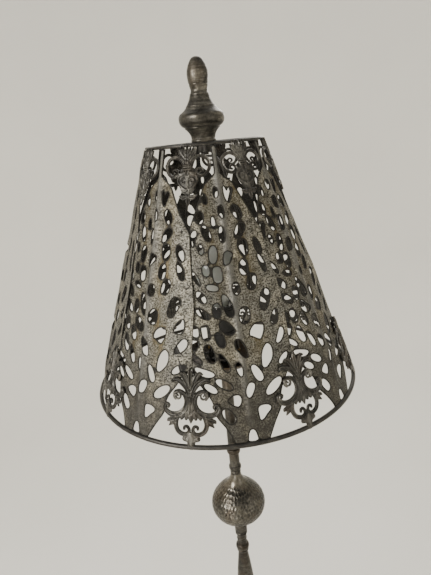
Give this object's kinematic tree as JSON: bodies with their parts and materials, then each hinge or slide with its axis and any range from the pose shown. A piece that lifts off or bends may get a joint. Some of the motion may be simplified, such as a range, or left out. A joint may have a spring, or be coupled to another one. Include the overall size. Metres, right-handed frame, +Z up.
{
  "type": "floor lamp",
  "caption": "Floor lamp with a downward-opening pierced-metal cone shade on a harp, tall turned finial, hammered ball on a slim turned pole and a round stepped base.",
  "frame": {"origin": "middle of the base's underside, on the floor", "axes": "+Z up the pole; -Y is the front that faces the viewer, +X is to the viewer's right"},
  "size_m": [0.3616, 0.3616, 1.6316],
  "materials": {
    "patina_pewter": "antique pewter, mottled, with brown patina at the pierced edges",
    "ornament_pewter": "dark antique pewter, worn on the raised edges",
    "finial_pewter": "dark antique pewter with bronze-brown wear",
    "pewter": "antique pewter",
    "pewter_tube": "antique pewter, drawn tube",
    "hammered_pewter": "hammered antique pewter",
    "dark_steel": "dark gunmetal",
    "dish_bronze": "dark olive bronze",
    "zinc_steel": "zinc plated",
    "cast_iron": "rough cast",
    "felt": "black felt",
    "black_plastic": "black moulded plastic",
    "socket_black": "black enamel",
    "socket_lining": "glazed porcelain",
    "brass": "dull brass",
    "bulb_cap_metal": "plain aluminium",
    "frosted_glass": "frosted white, unlit"
  },
  "bodies": {
    "stand": {"felt_pad": "felt", "base_weight": "cast_iron", "base_cover": "pewter", "base_washer": "zinc_steel", "base_nut": "zinc_steel", "cord_bushing": "black_plastic", "threaded_pipe": "zinc_steel", "column_foot": "pewter", "lower_tube": "pewter_tube", "column_ring": "pewter", "tapered_column": "pewter", "neck_bead": "pewter", "ball_stem": "pewter", "hammered_ball": "hammered_pewter", "ball_cap": "pewter", "short_tube": "pewter_tube", "tube_collar": "pewter", "upper_tube": "pewter_tube", "socket_dish": "dish_bronze", "harp_saddle": "dark_steel", "saddle_nut": "zinc_steel", "harp": "dark_steel", "harp_screw": "dark_steel", "socket_cap": "socket_black", "socket_shell": "socket_black", "socket_insulator": "socket_lining", "centre_contact": "brass"},
    "shade": {"bottom_ring": "dark_steel", "top_ring": "dark_steel", "spider": "dark_steel", "leaf_1": "patina_pewter", "leaf_2": "patina_pewter", "leaf_3": "patina_pewter", "leaf_4": "patina_pewter", "leaf_5": "patina_pewter", "leaf_6": "patina_pewter", "leaf_7": "patina_pewter", "leaf_8": "patina_pewter", "lower_ornament_1": "ornament_pewter", "lower_ornament_2": "ornament_pewter", "lower_ornament_3": "ornament_pewter", "lower_ornament_4": "ornament_pewter", "lower_ornament_5": "ornament_pewter", "lower_ornament_6": "ornament_pewter", "lower_ornament_7": "ornament_pewter", "lower_ornament_8": "ornament_pewter", "upper_ornament_1": "ornament_pewter", "upper_ornament_2": "ornament_pewter", "upper_ornament_3": "ornament_pewter", "upper_ornament_4": "ornament_pewter", "upper_ornament_5": "ornament_pewter", "upper_ornament_6": "ornament_pewter", "upper_ornament_7": "ornament_pewter", "upper_ornament_8": "ornament_pewter"},
    "finial": {"finial": "finial_pewter"},
    "bulb": {"bulb_base": "bulb_cap_metal", "bulb_glass": "frosted_glass"},
    "key": {"switch_key": "black_plastic"},
    "sleeve_left": {"harp_sleeve_left": "brass"},
    "sleeve_right": {"harp_sleeve_right": "brass"}
  },
  "joints": [
    {"name": "shade_swivel", "type": "hinge", "parent": "stand", "child": "shade", "pos_m": [0, 0, 1.532], "axis": [0, 0, 1], "continuous": true},
    {"name": "finial_unscrew", "type": "hinge", "parent": "stand", "child": "finial", "pos_m": [0, 0, 1.55], "axis": [0, 0, 1], "continuous": true},
    {"name": "bulb_unscrew", "type": "hinge", "parent": "stand", "child": "bulb", "pos_m": [0, 0, 1.3], "axis": [0, 0, 1], "continuous": true},
    {"name": "switch_turn", "type": "hinge", "parent": "stand", "child": "key", "pos_m": [-0.02046, -0.02194, 1.2745], "axis": [-0.682, -0.7314, 0], "continuous": true},
    {"name": "sleeve_left_lift", "type": "slide", "parent": "stand", "child": "sleeve_left", "axis": [0, 0, 1], "range_m": [0, 0.012]},
    {"name": "sleeve_right_lift", "type": "slide", "parent": "stand", "child": "sleeve_right", "axis": [0, 0, 1], "range_m": [0, 0.012]}
  ]
}
